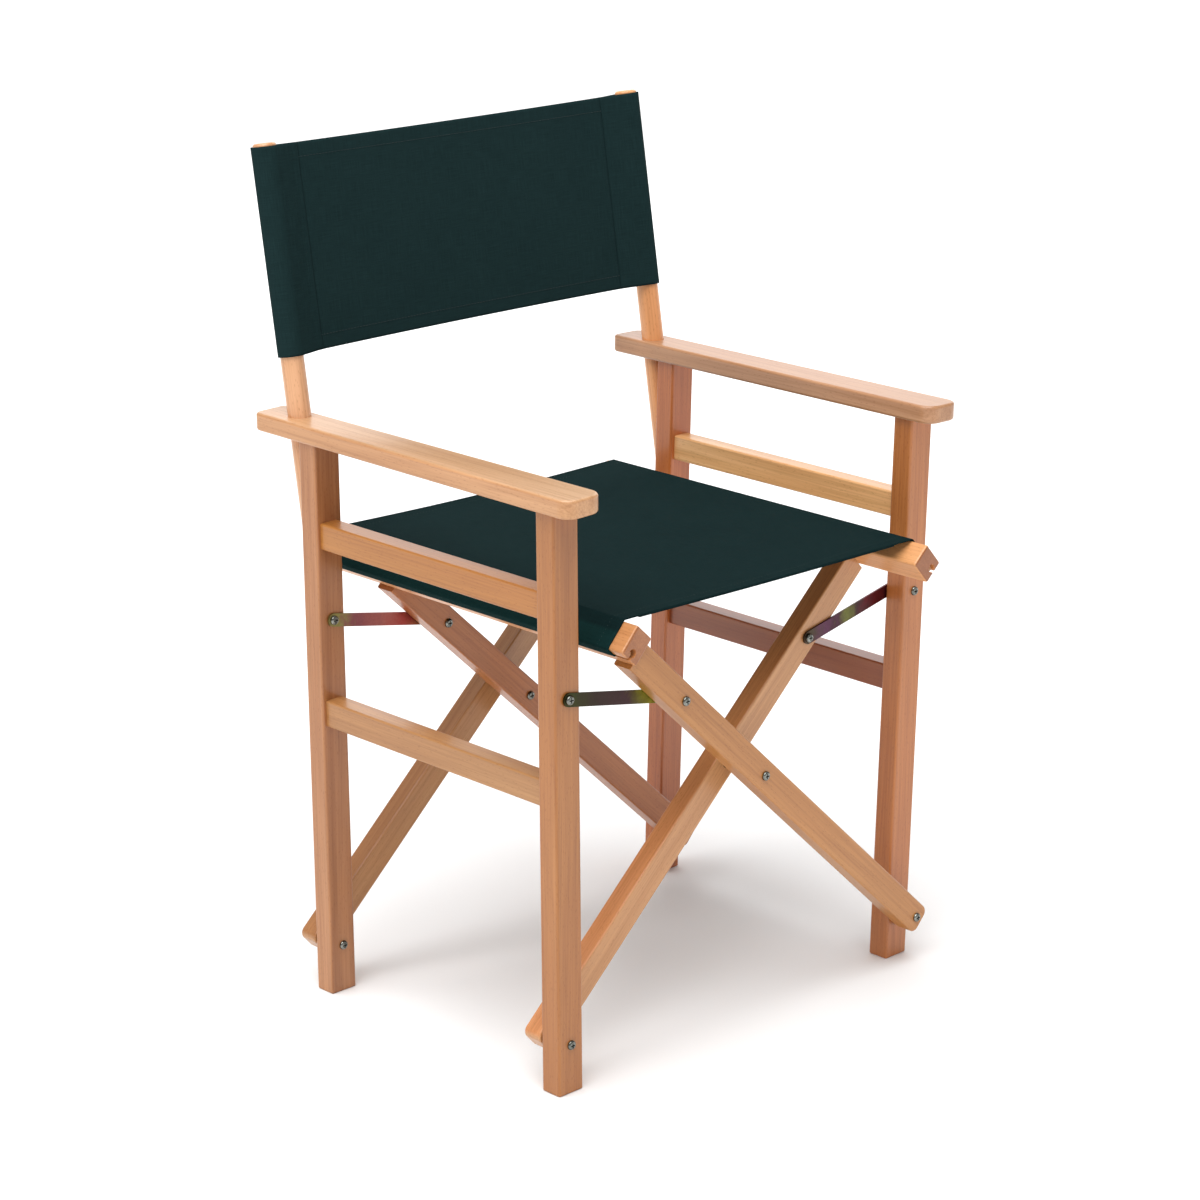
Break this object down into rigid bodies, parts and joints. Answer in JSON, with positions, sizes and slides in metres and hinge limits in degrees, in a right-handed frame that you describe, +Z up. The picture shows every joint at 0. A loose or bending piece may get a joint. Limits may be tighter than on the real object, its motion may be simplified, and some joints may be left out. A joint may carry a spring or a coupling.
{
  "type": "folding director's chair",
  "caption": "Folding wooden armchair with crossed legs, canvas seat and canvas back; the side frames close together.",
  "frame": {"origin": "on the floor, at the middle of the open chair's bounding box", "axes": "+Z up, +X towards the sitter's left, +Y towards the back of the chair"},
  "size_m": [0.5518, 0.5008, 0.8695],
  "materials": {
    "wood": "lacquered beech-like hardwood, satin to gloss",
    "dowel_wood": "plain wood",
    "canvas": "dark bottle-green woven canvas, matt",
    "link_steel": "yellow-passivated zinc plate",
    "zinc": "bright zinc plate"
  },
  "bodies": {
    "right_frame": {"right_front_leg": "wood", "right_rear_leg": "wood", "right_armrest": "wood", "right_upper_side_rail": "wood", "right_lower_side_rail": "wood", "right_back_post": "wood", "right_foot_pivot_screws": "zinc", "right_foot_pivot_nuts": "zinc", "right_foot_pivot_washers": "zinc", "right_link_frame_screws": "zinc", "back_canvas": "canvas"},
    "scissor_left": {"front_cross_leg_left": "wood", "rear_cross_leg_left": "wood", "seat_rail_left": "wood", "seat_dowel_left": "dowel_wood", "cross_pivot_screws": "zinc", "cross_pivot_nuts": "zinc", "cross_pivot_spacers": "zinc", "left_link_cross_screws": "zinc"},
    "scissor_right": {"front_cross_leg_right": "wood", "rear_cross_leg_right": "wood", "seat_rail_right": "wood", "seat_dowel_right": "dowel_wood", "right_link_cross_screws": "zinc", "seat_canvas": "canvas"},
    "left_frame": {"left_front_leg": "wood", "left_rear_leg": "wood", "left_armrest": "wood", "left_upper_side_rail": "wood", "left_lower_side_rail": "wood", "left_back_post": "wood", "left_foot_pivot_screws": "zinc", "left_foot_pivot_nuts": "zinc", "left_foot_pivot_washers": "zinc", "left_link_frame_screws": "zinc"},
    "link_right_front": {"link_right_front": "link_steel"},
    "link_right_rear": {"link_right_rear": "link_steel"},
    "link_left_front": {"link_left_front": "link_steel"},
    "link_left_rear": {"link_left_rear": "link_steel"}
  },
  "joints": [
    {"name": "fold", "type": "hinge", "parent": "right_frame", "child": "scissor_left", "pos_m": [-0.241, 0, 0.051], "axis": [0, -1, 0], "range_deg": [0, 39.2], "deforming": ["seat_canvas", "back_canvas"]},
    {"name": "cross", "type": "hinge", "parent": "scissor_left", "child": "scissor_right", "pos_m": [0, 0, 0.271], "axis": [0, -1, 0], "range_deg": [-84.3, 0]},
    {"name": "left_foot", "type": "hinge", "parent": "scissor_right", "child": "left_frame", "pos_m": [0.241, 0, 0.051], "axis": [0, -1, 0], "range_deg": [0, 39.3]},
    {"name": "right_front_link", "type": "hinge", "parent": "right_frame", "child": "link_right_front", "pos_m": [-0.24776, 0, 0.403], "axis": [0, -1, 0], "range_deg": [0, 81]},
    {"name": "right_rear_link", "type": "hinge", "parent": "right_frame", "child": "link_right_rear", "pos_m": [-0.24776, 0, 0.403], "axis": [0, -1, 0], "range_deg": [0, 81]},
    {"name": "left_front_link", "type": "hinge", "parent": "scissor_left", "child": "link_left_front", "pos_m": [0.11521, 0, 0.37618], "axis": [0, -1, 0], "range_deg": [-126, 0]},
    {"name": "left_rear_link", "type": "hinge", "parent": "scissor_left", "child": "link_left_rear", "pos_m": [0.11521, 0, 0.37618], "axis": [0, -1, 0], "range_deg": [-126, 0]}
  ],
  "couplings": [
    {"joint": "cross", "follows": "fold", "ratio": -2.148},
    {"joint": "left_foot", "follows": "fold", "ratio": 1},
    {"joint": "right_front_link", "follows": "fold", "ratio": 2.064},
    {"joint": "left_front_link", "follows": "fold", "ratio": -3.213},
    {"joint": "right_rear_link", "follows": "fold", "ratio": 2.064},
    {"joint": "left_rear_link", "follows": "fold", "ratio": -3.213}
  ]
}
